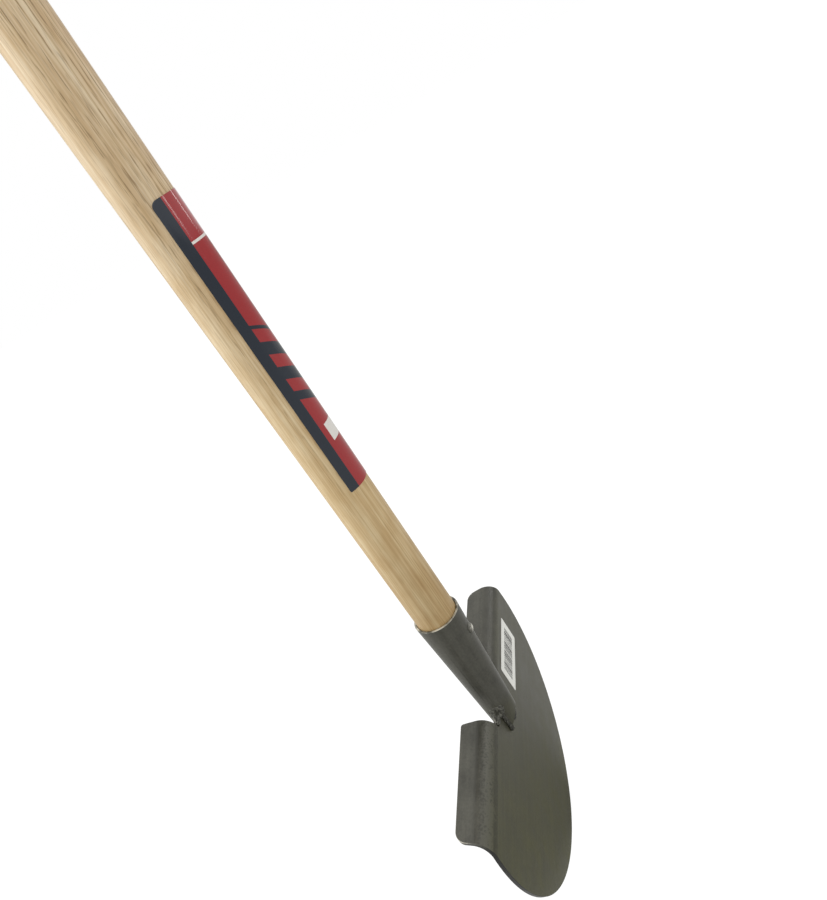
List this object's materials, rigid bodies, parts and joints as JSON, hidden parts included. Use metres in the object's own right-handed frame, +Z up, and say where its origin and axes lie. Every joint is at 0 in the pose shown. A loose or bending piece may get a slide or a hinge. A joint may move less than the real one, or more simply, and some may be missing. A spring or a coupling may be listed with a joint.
{
  "type": "half moon edger",
  "caption": "Long-handled lawn edger: a half-moon steel blade with folded treads and a riveted socket on a round ash shaft with an ash cross grip.",
  "frame": {"origin": "lowest point of the cutting edge, below the axis of the shaft, in the middle of the blade's thickness", "axes": "+Z up along the shaft, X across the blade, the sticker side of the blade faces -Y and the treads are folded back towards +Y"},
  "size_m": [0.2, 0.0341, 1.0543],
  "materials": {
    "blade_steel": "satin clear-lacquered dark steel sheet, worn bright along its edges",
    "weld_metal": "rippled weld under the same lacquer",
    "rivet_steel": "bright hammered steel",
    "shaft_ash": "sanded pale ash with a thin clear finish, grain along the shaft",
    "grip_ash": "sanded pale ash with a thin clear finish, grain along the grip",
    "peg_wood": "end grain of a hardwood peg",
    "label_film": "glossy printed film, red with navy bands, no words",
    "sticker_paper": "white coated paper with plain bars, no words or numbers"
  },
  "bodies": {
    "root": {"blade": "blade_steel", "socket": "blade_steel", "front_nose_weld": "weld_metal", "rear_nose_weld": "weld_metal", "side_welds": "weld_metal", "socket_rivet": "rivet_steel", "shaft": "shaft_ash", "cross_grip": "grip_ash", "grip_peg": "peg_wood", "shaft_label": "label_film", "blade_sticker": "sticker_paper"}
  },
  "joints": []
}
